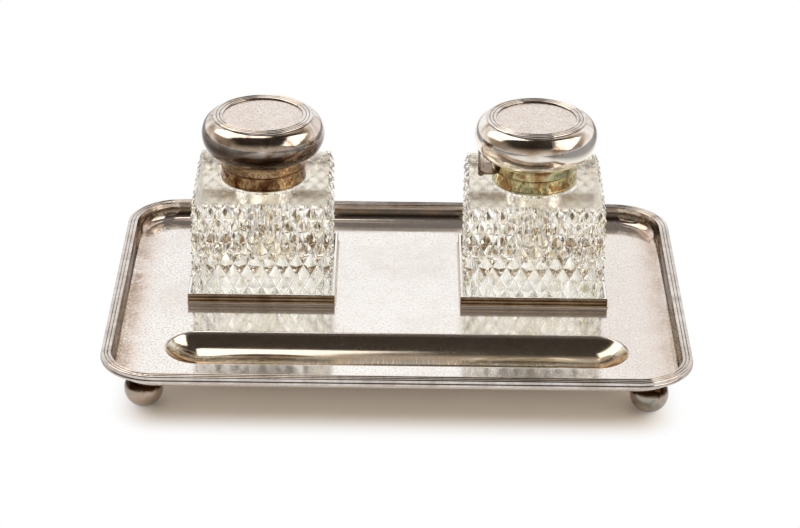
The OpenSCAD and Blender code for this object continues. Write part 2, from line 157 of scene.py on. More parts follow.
def plate_silver():
    """Old silver sheet, rolled, and polished by hand for many years.

    That gives the eye a soft mirror with a faint pink cast, fine pits, wide dull stains, and brown tarnish
    that creeps in from the cove, and a painted grey-brown and golden reflection in the trough. The pits of
    real silver are some tenths of a millimetre across and are drawn at 1.1 mm, and its wiping marks at
    0.45 mm, so that they show.
    """
    made, tree, where = material("plate_silver_satin")
    x, y, z = add(tree, "SeparateXYZ", where).outputs
    off_x = add(tree, "Math", x, operation="ABSOLUTE")
    off_y = add(tree, "Math", y, operation="ABSOLUTE")
    cloud = add(tree, "TexNoise", where, per_mm(16), 6.0, 0.7)
    grain = add(tree, "TexNoise", where, per_mm(1.3), 4.0, 0.75)
    pits = add(tree, "TexNoise", where, per_mm(1.1), 5.0, 0.8)
    stain = add(tree, "TexNoise", where, per_mm(38), 6.0, 0.7)
    smear = add(tree, "TexNoise", where, per_mm(6), 5.0, 0.8)
    haze = add(tree, "TexNoise", where, per_mm(30), 4.0, 0.6)
    swell = add(tree, "TexNoise", where, per_mm(24), 2.0, 0.6)

    # Tarnish from the cove inwards, further at the tray's ends than at its front and back
    end, side = FLAT_W / 2, FLAT_D / 2
    by_x = add(tree, "MapRange", off_x, (end - 11.2) * MM, (end + 1.3) * MM, **SMOOTH)
    by_y = add(tree, "MapRange", off_y, (side - 12.2) * MM, (side + 1.8) * MM, 0.0, 0.4, **SMOOTH)
    edge = add(tree, "Math", by_x, by_y, operation="MAXIMUM")
    wide = add(tree, "MapRange", cloud, 0.35, 0.65, 0.05, 0.5)
    fine = add(tree, "MapRange", grain, 0.35, 0.65, 0.0, 0.6)
    patchy = add(tree, "Math", wide, fine, operation="ADD")
    worn = add(tree, "Math", edge, patchy, operation="MULTIPLY")
    tone = add(tree, "ValToRGB", worn, stops=[
        (0.0, "FDFBF9"), (0.35, "F2E8E2"), (0.7, "C9B3A1"), (1.0, "9A8572")])

    # Pits, denser towards the ends, then stains and a duller right end
    dense = add(tree, "MapRange", off_x, 40 * MM, 100 * MM, 0.4, 0.7)
    pitted = add(tree, "Math", add(tree, "MapRange", pits, 0.5, 0.62), dense, operation="MULTIPLY")
    tone = add(tree, "Mix", pitted, tone, "A3958D", **COLOURS)
    tone = add(tree, "Mix", add(tree, "MapRange", stain, 0.48, 0.7, 0.0, 0.4), tone, "DDD2CB", **COLOURS)
    tone = add(tree, "Mix", add(tree, "MapRange", smear, 0.52, 0.75, 0.0, 0.35), tone, "D0C4BC", **COLOURS)
    duller = add(tree, "MapRange", x, 60 * MM, 110 * MM, 0.0, 0.4, **SMOOTH)
    tone = add(tree, "Mix", duller, tone, "DACEC6", **COLOURS)

    # Dark tarnish on the cove's upper side, which the border keeps from the cloth
    upward = add(tree, "SeparateXYZ", add(tree, "NewGeometry").outputs["True Normal"]).outputs[2]
    topside = add(tree, "Math", upward, -0.01, operation="GREATER_THAN")
    rising = add(tree, "MapRange", z, (FLAT_Z + 1.0) * MM, (FLAT_Z + 2.0) * MM)
    ending = add(tree, "MapRange", z, (FLAT_Z + 4.6) * MM, (FLAT_Z + 5.2) * MM, 0.9, 0.1)
    cove = add(tree, "Math", rising, ending, operation="MULTIPLY")
    cove = add(tree, "Math", cove, topside, operation="MULTIPLY")
    patch = add(tree, "MapRange", cloud, 0.4, 0.6)
    tone = add(tree, "Mix", cove, tone, add(tree, "Mix", patch, "544B42", "7E6A56", **COLOURS), **COLOURS)

    # The trough: cream, with a painted grey-brown reflection along its near half and a painted golden
    # reflection at its two near ends
    sunk = add(tree, "MapRange", z, (FLAT_Z - 1.2) * MM, (FLAT_Z - 0.1) * MM, 1.0, 0.0)
    hollow = add(tree, "Math", topside, sunk, operation="MULTIPLY")
    tone = add(tree, "Mix", add(tree, "Math", hollow, 0.6, operation="MULTIPLY"), tone, "E8DBC6", **COLOURS)
    # Painted reflection: grey-brown along the trough's near half
    near = add(tree, "MapRange", y, (TROUGH_Y + 4.5) * MM, (TROUGH_Y + 2) * MM, 0.0, 0.9)
    near = add(tree, "Math", hollow, near, operation="MULTIPLY")
    tone = add(tree, "Mix", near, tone, add(tree, "Mix", patch, "A28E70", "8F8376", **COLOURS), **COLOURS)
    # Painted reflection: golden at the trough's two near ends
    gold = add(tree, "MapRange", off_x, (TROUGH_L / 2 - 22) * MM, (TROUGH_L / 2 - 12) * MM)
    nearest = add(tree, "MapRange", y, (TROUGH_Y + 3) * MM, (TROUGH_Y - 3) * MM)
    gold = add(tree, "Math", gold, nearest, operation="MULTIPLY")
    gold = add(tree, "Math", gold, 0.85, operation="MULTIPLY")
    gold = add(tree, "Math", hollow, gold, operation="MULTIPLY")
    tone = add(tree, "Mix", gold, tone, "D9A566", **COLOURS)

    # Pale wiping marks along the trough: a noise stretched in the direction of the pens
    along = add(tree, "Mapping", {"Vector": where, "Scale": (1.0, 0.05, 0.3)})
    marks = add(tree, "TexNoise", along, per_mm(0.45), 3.0, 0.7)
    wiped = add(tree, "MapRange", marks, 0.52, 0.72, 0.0, 0.5)
    wiped = add(tree, "Math", hollow, wiped, operation="MULTIPLY")
    tone = add(tree, "Mix", wiped, tone, "FFF8EC", **COLOURS)

    # A thin dull film veils the flat's mirror, most at its edges, and the curves are cleaner metal
    curved = add(tree, "MapRange", z, (FLAT_Z + 0.1) * MM, (FLAT_Z + 1.2) * MM)
    curved = add(tree, "Math", hollow, curved, operation="MAXIMUM")
    veil = add(tree, "Math", edge, 0.22, operation="MULTIPLY")
    veil = add(tree, "Math", 0.86, veil, operation="SUBTRACT")
    mirror = add(tree, "Mix", curved, veil, 0.99)
    smeared = add(tree, "Math", wiped, 0.1, operation="MULTIPLY")
    mirror = add(tree, "Math", mirror, smeared, operation="SUBTRACT")
    satin = add(tree, "MapRange", haze, 0.3, 0.7, 0.07, 0.13)
    smoother = add(tree, "Math", curved, 0.03, operation="MULTIPLY")
    satin = add(tree, "Math", satin, smoother, operation="SUBTRACT")
    scratched = add(tree, "Math", hollow, 0.05, operation="MULTIPLY")
    satin = add(tree, "Math", satin, scratched, operation="ADD")
    wavy = add(tree, "Bump", {"Height": swell, "Strength": 0.14, "Distance": 0.35 * MM})
    wavy = add(tree, "Bump", {"Height": pits, "Strength": 0.14, "Distance": 0.06 * MM, "Normal": wavy})
    shader = add(tree, "BsdfPrincipled", {
        "Base Color": tone, "Metallic": mirror, "Roughness": satin, "Normal": wavy})
    add(tree, "OutputMaterial", shader)
    return made


def reeded_silver(name, clean, dull, dark, reach, rough, shade=(0.35, 0.85), lip=None):
    """Silver strip drawn into reeds.

    That gives the eye reeds rubbed bright over brown-black tarnish in the grooves, in clouds some 9 mm
    across. A lip is the height of an upper edge in mm, whitened to pure silver, which is rubbed wear and a
    painted highlight along that edge in one.
    """
    made, tree, where = material(name)
    cloud = add(tree, "TexNoise", where, per_mm(9), 5.0, 0.6)
    rubbed = add(tree, "Mix", add(tree, "MapRange", cloud, 0.38, 0.62), dull, clean, **COLOURS)
    specks = add(tree, "MapRange", add(tree, "TexNoise", where, per_mm(3), 4.0, 0.6), 0.5, 0.8, 0.0, 0.25)
    dirt = add(tree, "Math", grime(tree, reach, *shade), specks, operation="ADD")
    tone = add(tree, "Mix", dirt, rubbed, dark, **COLOURS)
    if lip:
        # The upper edge is whitened: rubbed wear and a painted highlight
        height = add(tree, "SeparateXYZ", where).outputs[2]
        bare_and_highlight = add(tree, "MapRange", height, (lip - 0.35) * MM, (lip - 0.1) * MM)
        tone = add(tree, "Mix", bare_and_highlight, tone, "FFFFFF", **COLOURS)
    waves = add(tree, "TexNoise", where, per_mm(5), 2.0, 0.6)
    wavy = add(tree, "Bump", {"Height": waves, "Strength": 0.1, "Distance": 0.1 * MM})
    shader = add(tree, "BsdfPrincipled", {
        "Base Color": tone, "Metallic": 1.0, "Roughness": rough, "Normal": wavy})
    add(tree, "OutputMaterial", shader)
    return made


def tarnished(name, stops, size, rough_low, rough_high, dent=0.15, dirt="2A1E14"):
    """Turned or hammered silver under a thin uneven tarnish.

    That gives the eye a mirror whose colour wanders in clouds of size mm, as a thin film of sulphide does,
    with soft dents, and dirt in its corners. Its rubbing marks are drawn at 0.8 mm, so that they show.
    """
    made, tree, where = material(name)
    cloud = add(tree, "TexNoise", where, per_mm(size), 6.0, 0.62, 2.0, 0.6)
    tone = add(tree, "ValToRGB", cloud, stops=stops)
    corners = add(tree, "Math", grime(tree, 1.0), 0.7, operation="MULTIPLY")
    tone = add(tree, "Mix", corners, tone, dirt, **COLOURS)
    rubs = add(tree, "TexNoise", where, per_mm(0.8), 3.0, 0.6)
    rough = add(tree, "MapRange", rubs, 0.35, 0.65, rough_low, rough_high)
    dents = add(tree, "TexNoise", where, per_mm(12), 1.0, 0.6)
    wavy = add(tree, "Bump", {"Height": dents, "Strength": dent, "Distance": 0.3 * MM})
    shader = add(tree, "BsdfPrincipled", {
        "Base Color": tone, "Metallic": 1.0, "Roughness": rough, "Normal": wavy})
    add(tree, "OutputMaterial", shader)
    return made


def foot_silver():
    """Silver ball feet, painted dark high up for the shade under the tray.

    They give the eye a mirror that is painted nearly black-brown high up, as the shade under the tray's edge
    and the dark reflection of its underside, and a warm grey lower down.
    """
    made, tree, where = material("foot_silver_dark")

    # Heights over the table in mm: the plain part's end, the painted shade's start, and how far both wander
    unshaded_to, dark_from, wander = 9.5, 11.5, 1.2
    cloud = add(tree, "TexNoise", where, per_mm(8), 5.0, 0.6, 2.0, 0.8)
    under = add(tree, "ValToRGB", cloud, stops=[
        (0.35, "807E76"), (0.48, "A59F92"), (0.58, "BBA494"), (0.7, "8A8366")])
    height = add(tree, "SeparateXYZ", where).outputs[2]
    uneven = add(tree, "MapRange", cloud, 0.3, 0.7, -wander * MM, wander * MM)
    height = add(tree, "Math", height, uneven, operation="ADD")
    # Painted shade: black-brown above these heights, for the shade and dark reflection under the tray
    shade = add(tree, "MapRange", height, unshaded_to * MM, dark_from * MM, **SMOOTH)
    tone = add(tree, "Mix", shade, under, "3B2817", **COLOURS)
    rough = add(tree, "MapRange", cloud, 0.3, 0.7, 0.02, 0.06)
    dents = add(tree, "TexNoise", where, per_mm(9), 1.0, 0.6)
    wavy = add(tree, "Bump", {"Height": dents, "Strength": 0.1, "Distance": 0.2 * MM})
    shader = add(tree, "BsdfPrincipled", {
        "Base Color": tone, "Metallic": 1.0, "Roughness": rough, "Normal": wavy})
    add(tree, "OutputMaterial", shader)
    return made


def lid_silver(name, side_stops, under, depth):
    """Lids of raised sheet silver.

    They give the eye a domed side that is a grey-brown tinted mirror, darker or brighter low down, where the
    dark is tarnish and painted reflection and the bright is painted reflection, and a disc inside the ring
    that is rubbed to a fine satin. Its pits are drawn at 0.7 mm, so that they show.
    """
    made, tree, where = material(name)

    # Heights in mm: the disc, and the belt over which the low side's colour fades out
    top, low_from, low_to = LID_Z + LID_H, LID_Z + 6.5, LID_Z + 12.5
    height = add(tree, "SeparateXYZ", where).outputs[2]
    flat = add(tree, "MapRange", height, (top - 0.06) * MM, (top - 0.01) * MM)
    cloud = add(tree, "TexNoise", where, per_mm(13), 6.0, 0.6, 2.0, 0.8)
    side = add(tree, "ValToRGB", cloud, stops=side_stops)
    # Painted reflection low down: the under colour fades in below the belt, partly tarnish where it is dark
    low = add(tree, "MapRange", height, low_from * MM, low_to * MM, depth, 0.0, **SMOOTH)
    side = add(tree, "Mix", low, side, under, **COLOURS)
    pits = add(tree, "TexNoise", where, per_mm(0.7), 4.0, 0.75)
    disc = add(tree, "ValToRGB", pits, stops=[(0.34, "9F8D80"), (0.46, "E9DED6"), (0.62, "FBF5F1")])
    stain = add(tree, "TexNoise", where, per_mm(9), 4.0, 0.6)
    disc = add(tree, "Mix", add(tree, "MapRange", stain, 0.42, 0.7, 0.0, 0.4), disc, "D9C6BA", **COLOURS)
    tone = add(tree, "Mix", flat, side, disc, **COLOURS)
    corners = add(tree, "Math", grime(tree, 0.9), 0.8, operation="MULTIPLY")
    tone = add(tree, "Mix", corners, tone, "4A392C", **COLOURS)
    rubs = add(tree, "TexNoise", where, per_mm(5), 4.0, 0.6)
    rough = add(tree, "MapRange", rubs, 0.35, 0.65, 0.05, 0.13)
    satin = add(tree, "Math", flat, 0.28, operation="MULTIPLY")
    rough = add(tree, "Math", rough, satin, operation="MAXIMUM")
    dents = add(tree, "TexNoise", where, per_mm(14), 1.0, 0.6)
    wavy = add(tree, "Bump", {"Height": dents, "Strength": 0.12, "Distance": 0.3 * MM})
    wavy = add(tree, "Bump", {"Height": pits, "Strength": 0.22, "Distance": 0.1 * MM, "Normal": wavy})
    shader = add(tree, "BsdfPrincipled", {
        "Base Color": tone, "Metallic": 1.0, "Roughness": rough, "Normal": wavy})
    add(tree, "OutputMaterial", shader)
    return made


def cut_glass():
    """Lead glass, wheel cut and polished.

    It gives the eye a clear bright body whose every facet takes its own warm tint from what it gathers.
    Real glass shows the room many times over in each facet. The render shows less of that, so facets,
    shards of 3 mm and flecks of 1.7 mm get rare brown tints, which are painted reflections of the room, and
    each facet a faint painted shade by the way it faces. The top is polished and has a faint cream haze.
    The IOR is well under the 1.54 of lead glass, because with that the facets come out too dark.
    """
    made, tree, where = material("cut_lead_glass")
    facing = add(tree, "SeparateXYZ", add(tree, "NewGeometry").outputs["True Normal"]).outputs
    x, y, z = add(tree, "SeparateXYZ", where).outputs

    # Column and row of diamonds, counted from the middle of the side
    across = add(tree, "Math", x, operation="ABSOLUTE")
    across = add(tree, "Math", across, WELL_X * MM, operation="SUBTRACT")
    along = add(tree, "Math", y, WELL_Y * MM, operation="SUBTRACT")
    facing_x = add(tree, "Math", facing[0], operation="ABSOLUTE")
    facing_y = add(tree, "Math", facing[1], operation="ABSOLUTE")
    front = add(tree, "Math", facing_y, facing_x, operation="GREATER_THAN")
    column = add(tree, "Mix", front, along, across)
    column = add(tree, "Math", column, 1 / (DIAMOND_W * MM), operation="MULTIPLY")
    level = add(tree, "Math", z, (FLAT_Z + GLASS_H / 2) * MM, operation="SUBTRACT")
    row = add(tree, "Math", level, 1 / (DIAMOND_H * MM), operation="MULTIPLY")
    uphill = add(tree, "Math", column, row, operation="ADD")
    downhill = add(tree, "Math", column, row, operation="SUBTRACT")
    uphill = add(tree, "Math", uphill, 0.5, operation="ADD")
    downhill = add(tree, "Math", downhill, 0.5, operation="ADD")

    # One of a diamond's four facets, told by the way it faces, and its painted reflection tint by chance
    sideways = add(tree, "Mix", front, facing[1], facing[0])
    sideways = add(tree, "Math", sideways, 0.0, operation="GREATER_THAN")
    upwards = add(tree, "Math", facing[2], 0.0, operation="GREATER_THAN")
    upwards = add(tree, "Math", upwards, 2.0, operation="MULTIPLY")
    corner = add(tree, "Math", sideways, upwards, operation="ADD")
    rising = add(tree, "Math", uphill, operation="FLOOR")
    falling = add(tree, "Math", downhill, operation="FLOOR")
    cell = add(tree, "CombineXYZ", rising, falling, corner)
    chance = add(tree, "TexWhiteNoise", cell)
    facet = add(tree, "ValToRGB", chance, stops=[
        (0.0, "FFFFFF"), (0.9, "FFFFFF"), (0.95, "FFFBEE"), (0.98, "ECE4CE"), (1.0, "9C8D6C")])
    # Shards of 3 mm, and below them flecks of 1.7 mm: more rare painted reflections in brown
    shard = add(tree, "TexVoronoi", where, per_mm(3.0)).outputs["Color"]
    shard = add(tree, "SeparateColor", shard)
    shard = add(tree, "ValToRGB", shard, stops=[
        (0.0, "FFFFFF"), (0.93, "FFFFFF"), (0.96, "F8F2E4"), (0.985, "CFC4A8"), (1.0, "6E6144")])
    facet = add(tree, "Mix", 1.0, facet, shard, **TINTED)
    # Painted shade: each facet a little darker or lighter by the way it faces
    turn = add(tree, "Math", corner, 1 / 3, operation="MULTIPLY")
    slope = add(tree, "ValToRGB", turn, stops=[
        (0.0, "FFFFFF"), (0.2, "FEFBF3"), (0.5, "FFFFFF"), (0.85, "FAF6EC")])
    slope.color_ramp.interpolation = "CONSTANT"
    facet = add(tree, "Mix", 1.0, facet, slope, **TINTED)
    fleck = add(tree, "TexVoronoi", where, per_mm(1.7)).outputs["Color"]
    fleck = add(tree, "SeparateColor", fleck).outputs[1]
    fleck = add(tree, "ValToRGB", fleck, stops=[
        (0.0, "FFFFFF"), (0.88, "FFFFFF"), (0.95, "F8F3E6"), (1.0, "C4B898")])
    facet = add(tree, "Mix", 1.0, facet, fleck, **TINTED)

    # The plain top, told by its slope, and the bottom of the cuts, where the wheel leaves a line of matt
    # glass that is a few hundredths of a diamond wide
    top = add(tree, "MapRange", facing[2], 0.6, 0.75)
    haze = add(tree, "MapRange", add(tree, "TexNoise", where, per_mm(10), 4.0, 0.6), 0.4, 0.62)
    skin = add(tree, "Mix", haze, "FFFEFA", "F6F1E5", **COLOURS)
    lattice = [add(tree, "Math", way, 0.5, operation="PINGPONG") for way in (uphill, downhill)]
    groove = add(tree, "Math", *lattice, operation="MINIMUM")
    groove = add(tree, "Math", groove, 0.035, operation="LESS_THAN")
    cut_side = add(tree, "Math", 1.0, top, operation="SUBTRACT")
    groove = add(tree, "Math", groove, cut_side, operation="MULTIPLY")
    tone = add(tree, "Mix", groove, add(tree, "Mix", top, facet, skin, **COLOURS), "FFFFFF", **COLOURS)
    rough = add(tree, "MapRange", top, 0.0, 1.0, 0.02, 0.2)
    clear = add(tree, "MapRange", groove, 0.0, 1.0, 1.0, 0.5)
    shader = add(tree, "BsdfPrincipled", {
        "Base Color": tone, "Roughness": rough, "IOR": 1.25, "Transmission Weight": clear})
    add(tree, "OutputMaterial", shader)
    return made


def plaster():
    """Plaster of Paris, set in place.

    It gives the eye a matt, slightly crumbly off-white. Its grit is drawn at 0.6 mm, so that it shows.
    """
    made, tree, where = material("plaster_of_paris")
    grit = add(tree, "TexNoise", where, per_mm(0.6), 5.0, 0.6)
    tone = add(tree, "ValToRGB", grit, stops=[(0.3, "CFC7B4"), (0.7, "ECE6D8")])
    crumbly = add(tree, "Bump", {"Height": grit, "Strength": 0.5, "Distance": 0.2 * MM})
    shader = add(tree, "BsdfPrincipled", {"Base Color": tone, "Roughness": 0.9, "Normal": crumbly})
    add(tree, "OutputMaterial", shader)
    return made


# The tray: pink-white sheet, white reeds on its border, brown ones on the holders, and dark feet
PLATE = plate_silver()
BORDER = reeded_silver("border_silver_reeded", "E6DFD9", "CBC1B9", "2A211A", 1.5, 0.1, (0.52, 0.86))
HOLDER = reeded_silver("holder_silver_brown", "D8C2A6", "A98C6C", "33241A", 1.0, 0.22, lip=FLAT_Z + HOLDER_H)
FOOT = foot_silver()

# The left collar is tarnished brown, and the right one to straw gold with some green and rose
BROWN_RUBBED = [(0.36, "5E3A22"), (0.45, "8C6B4A"), (0.53, "AE9570"), (0.6, "84634A"), (0.68, "C6AC88")]
GOLD_AND_GREEN = [(0.36, "9A6E48"), (0.45, "B9A878"), (0.54, "D6D0A6"), (0.61, "A8B58E"), (0.7, "DDAE86")]
COLLAR = {
    "left": tarnished("collar_silver_brown", BROWN_RUBBED, 8, 0.1, 0.2),
    "right": tarnished("collar_silver_gold", GOLD_AND_GREEN, 9, 0.08, 0.16),
}

# The left lid is browner, and its lower side is painted dark, as tarnish and as a painted reflection of the
# dark room; the right one is bright, with a painted pale reflection low down
BROWN_GREY = [(0.32, "866B54"), (0.44, "CFC2B6"), (0.58, "F0E9E2"), (0.7, "A98F79")]
BRIGHT = [(0.32, "B9A48F"), (0.45, "E6DCD3"), (0.6, "F8F4F0"), (0.74, "CDB8A4")]
LID = {
    "left": lid_silver("lid_silver_brown", BROWN_GREY, "4C3826", 0.95),
    "right": lid_silver("lid_silver_bright", BRIGHT, "FFF6E8", 0.8),
}

# Reeds on the lids, silver gilt that keeps its warm gold, brown hinges, and pale solder that is nearly matt
RING = reeded_silver("lid_ring_silver", "F2ECE7", "D2C7BD", "30231A", 1.4, 0.1, (0.5, 0.9))
GILT = tarnished("silver_gilt", [(0.3, "B98A3C"), (0.6, "DDB866")], 8, 0.18, 0.3)
HINGE = tarnished("hinge_silver_brown", [(0.3, "6A5848"), (0.6, "A08C78")], 5, 0.12, 0.25)
SOLDER = tarnished("soldered_seam", [(0.3, "EFE6DA"), (0.6, "FFFBF5")], 6, 0.4, 0.55, dirt="B5A594")
GLASS = cut_glass()
PLASTER = plaster()


# Shapes
def oval(cx, cz, rx, rz, start, end, steps):
    """Points of an elliptical arc in a section, in mm."""
    turns = [math.radians(start + (end - start) * i / steps) for i in range(steps + 1)]
    return [(cx + rx * math.cos(a), cz + rz * math.sin(a)) for a in turns]


def moved(points, up):
    """A section's points, each up mm higher."""
    return [(r, z + up) for r, z in points]


def centre_of(node):
    """The middle of a CAD node, seen from above, in mm."""
    low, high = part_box(node)
    return ((low.x + high.x) / 2 / MM, (low.y + high.y) / 2 / MM)


def piece(name, bm, body, stands_for, skin, sharp=35):
    """Finishes a mesh as a piece of the object that rides on a body and stands for CAD nodes.

    It is shaded smooth, apart from edges of more than sharp degrees.
    """
    for face in bm.faces:
        face.smooth = True
    for edge in bm.edges:
        edge.smooth = edge.calc_face_angle(0) < math.radians(sharp)
    mesh = bpy.data.meshes.new(name)
    bm.to_mesh(mesh)
    bm.free()
    mesh.materials.append(skin)
    made = bpy.data.objects.new(name, mesh)
    bpy.context.scene.collection.objects.link(made)
    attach(made, body)
    if stands_for:
        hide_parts(*stands_for)


def profile_edges(bm, points):
    """The section that an operator carries: its points joined in a row, in metres."""
    made = [bm.verts.new(p) for p in points]
    return [bm.edges.new(pair) for pair in zip(made, made[1:])]


def turned(profile, centre, closed=True, steps=144, start=0.0):
    """A section of (radius, height) points in mm, turned about the upright axis through centre.

    A closed section is a ring, and an open one begins and ends on the axis. Start is its angle from +X.
    """
    bm = bmesh.new()
    profile_edges(bm, [(r * math.cos(start) * MM, r * math.sin(start) * MM, z * MM) for r, z in profile])
    if closed:
        bm.verts.ensure_lookup_table()
        bm.edges.new((bm.verts[-1], bm.verts[0]))
    bmesh.ops.spin(bm, geom=bm.verts[:] + bm.edges[:], cent=(0, 0, 0), axis=(0, 0, 1),
                   angle=math.tau, steps=steps, use_merge=True)
    bmesh.ops.remove_doubles(bm, verts=bm.verts, dist=WELD)
    bmesh.ops.recalc_face_normals(bm, faces=bm.faces)
    bmesh.ops.translate(bm, verts=bm.verts, vec=(centre[0] * MM, centre[1] * MM, 0))
    return bm


def swept(bm, edges, corners, angle, steps, runs):
    """Carries a section's edges along: spins them about each corner, then runs them straight on."""
    for corner, run in zip(corners, runs):
        section = edges + list({v for e in edges for v in e.verts})
        spun = bmesh.ops.spin(bm, geom=section, cent=corner, axis=(0, 0, 1),
                              angle=angle, steps=steps, use_merge=False)
        edges = [g for g in spun["geom_last"] if isinstance(g, bmesh.types.BMEdge)]
        grown = bmesh.ops.extrude_edge_only(bm, edges=edges)["geom"]
        bmesh.ops.translate(bm, verts=[g for g in grown if isinstance(g, bmesh.types.BMVert)], vec=run)
        edges = [g for g in grown if isinstance(g, bmesh.types.BMEdge) and all(v in grown for v in g.verts)]


def tray_sheet():
    """The tray's one sheet: flat, cove, flange, and the pen trough pressed in it."""
    bm = bmesh.new()
    ease = 0.8
    cove = [(-ease, 0), *oval(0, SEAT_UP, COVE_W, SEAT_UP, -90, 0, 20), (COVE_W + SEAT_W, SEAT_UP)]
    x, y = (FLAT_W / 2 - FLAT_R) * MM, (FLAT_D / 2 - FLAT_R) * MM
    start = profile_edges(bm, [(x + (FLAT_R + out) * MM, y, (FLAT_Z + up) * MM) for out, up in cove])
    swept(bm, start, [(x, y, 0), (-x, y, 0), (-x, -y, 0), (x, -y, 0)], math.pi / 2, 24,
          [(-2 * x, 0, 0), (0, -2 * y, 0), (2 * x, 0, 0), (0, 2 * y, 0)])

    # The trough's bowl is one arc that meets the rolled rim at the same slope
    bowl_r = (TROUGH_HALF ** 2 / TROUGH_DEPTH + TROUGH_DEPTH) / 2 - TROUGH_RIM
    bowl_z = bowl_r - TROUGH_DEPTH
    meet = math.degrees(math.atan2(TROUGH_HALF, bowl_z + TROUGH_RIM))
    bowl = oval(0, bowl_z, bowl_r, bowl_r, -90, meet - 90, 24)
    rim = oval(TROUGH_HALF, -TROUGH_RIM, TROUGH_RIM, TROUGH_RIM, 90 + meet, 90, 10)
    trough = [*bowl, *rim[1:], (TROUGH_HALF + ease, 0)]
    half = (TROUGH_L / 2 - TROUGH_HALF) * MM
    middle = TROUGH_Y * MM
    start = profile_edges(bm, [(half, middle - out * MM, (FLAT_Z + up) * MM) for out, up in trough])
    swept(bm, start, [(half, middle, 0), (-half, middle, 0)], math.pi, 56,
          [(-2 * half, 0, 0), (2 * half, 0, 0)])
    bmesh.ops.remove_doubles(bm, verts=bm.verts, dist=WELD_RUNS)

    # The flat fills what is left between the cove and the trough
    level = FLAT_Z * MM
    rims = [e for e in bm.edges if e.is_boundary and all(abs(v.co.z - level) < WELD_RUNS for v in e.verts)]
    bmesh.ops.triangle_fill(bm, use_beauty=True, use_dissolve=False, edges=rims, normal=(0, 0, 1))
    bmesh.ops.recalc_face_normals(bm, faces=bm.faces)
    if max(bm.faces, key=lambda f: f.calc_area()).normal.z < 0:
        bmesh.ops.reverse_faces(bm, faces=bm.faces)
    bmesh.ops.solidify(bm, geom=bm.faces[:], thickness=PLATE_T * MM)
    bmesh.ops.recalc_face_normals(bm, faces=bm.faces)
    piece("tray_sheet", bm, "tray", ["tray_plate"], PLATE)


def ball_foot(node):
    """Ball foot with a soldered neck, worn flat where it stands."""
    top = FLAT_Z - PLATE_T
    middle = top - FOOT_NECK_H - FOOT_R
    low = -math.degrees(math.asin(middle / FOOT_R))
    high = math.degrees(math.acos(FOOT_NECK / FOOT_R)) - 4
    solder_w, solder_h = 0.5, 0.3
    ball = oval(0, middle, FOOT_R, FOOT_R, low, high, 64)
    neck = [(FOOT_NECK + solder_w * 0.3, top - solder_h), (FOOT_NECK + solder_w, top)]
    profile = [(0, 0), *ball, *neck, (0, top)]
    bm = turned(profile, centre_of(node), closed=False, steps=96)
    piece(node + "_ball", bm, "tray", [node], FOOT)


def collar_ring(side):
    """Turned collar: lower band with a bead, plain wall, coved flange and bezel, its edges worn soft."""
    inner = COLLAR_R - COLLAR_T
    bezel_in = inner - COLLAR_T
    top = NECK_H + FLANGE_T
    crest = top + BEZEL_H
    flare = FLANGE_R - COLLAR_R
    foot = COLLAR_R + 0.25
    edge, soft, softer = 0.25, 0.2, 0.15
    profile = [
        (inner, 0), (foot - 0.1, 0), (foot, 0.1), (foot, 0.7), (foot - 0.07, 0.85), (COLLAR_R, 1.05),
        (COLLAR_R, BAND_H - 0.35), *oval(COLLAR_R + 0.02, BAND_H, edge, 0.28, -70, 75, 8),
        (COLLAR_R - soft, BAND_H + 0.5),
        *oval(FLANGE_R - 0.1, NECK_H - flare, flare + soft, flare, 180, 92, 18),
        *oval(FLANGE_R - soft, NECK_H + 0.3, soft, edge, -80, 0, 5),
        *oval(FLANGE_R - edge, top - edge, edge, edge, 0, 90, 6),
        (inner, top), (inner, crest - soft), (inner - soft, crest),
        (bezel_in + softer, crest), (bezel_in, crest - softer), (bezel_in, top),
        (MOUTH_R + soft, top), (MOUTH_R, top - soft), (MOUTH_R, NECK_H), (inner, NECK_H),
    ]
    node = f"{side}_collar"
    bm = turned(moved(profile, COLLAR_Z), centre_of(node))
    piece(node + "_ring", bm, f"{side}_inkwell", [node], COLLAR[side], 30)


def bun_lid(side):
    """Bun-shaped lid raised from sheet, and the domed gilt lining that closes it from below."""
    inner_r = LID_R - LID_ROUND
    below, above = LID_WAIST + 0.5, LID_H - LID_WAIST
    below_in, above_in, round_in = below - LID_T, above - LID_T, LID_ROUND - LID_T
    start = -math.degrees(math.asin(LID_WAIST / below))
    start_in = -math.degrees(math.asin((LID_WAIST - LID_T) / below_in))
    profile = [
        (0, LID_H), *reversed(oval(inner_r, LID_WAIST, LID_ROUND, above, 0, 90, 40)),
        *reversed(oval(inner_r, LID_WAIST, LID_ROUND, below, start, -2, 30)),
        (LID_MOUTH, 0), (LID_MOUTH, LID_T),
        *oval(inner_r, LID_WAIST, round_in, below_in, start_in, 0, 16),
        *oval(inner_r, LID_WAIST, round_in, above_in, 6, 90, 16), (0, LID_H - LID_T),
    ]
    node = f"{side}_lid_shell"
    spot = centre_of(node)
    bm = turned(moved(profile, LID_Z), spot, closed=False, steps=180)
    piece(node + "_bun", bm, f"{side}_lid", [node], LID[side])
    rim = LID_MOUTH + LINING_T
    outside = oval(0, 0, rim, LINING_RISE, 0, 90, 36)
    inside = oval(0, 0, rim - LINING_T, LINING_RISE - LINING_T, 0, 90, 36)
    node = f"{side}_lid_lining"
    bm = turned(moved([*outside, *reversed(inside)], LID_Z + LID_T), spot, steps=120)
    piece(node + "_dome", bm, f"{side}_lid", [node], GILT)


def solder_seam(side):
    """Thin concave seam of solder along the foot of a holder's four sides, turned in four steps."""
    size = 0.6
    section = [(0, 0), *oval(size, size, size, size, 180, 270, 6)]
    diagonal = [((HOLDER_W / 2 + out) * math.sqrt(2), FLAT_Z + up) for out, up in section]
    bm = turned(diagonal, centre_of(f"{side}_holder"), steps=4, start=math.pi / 4)
    piece(f"{side}_holder_seam", bm, "tray", [], SOLDER)


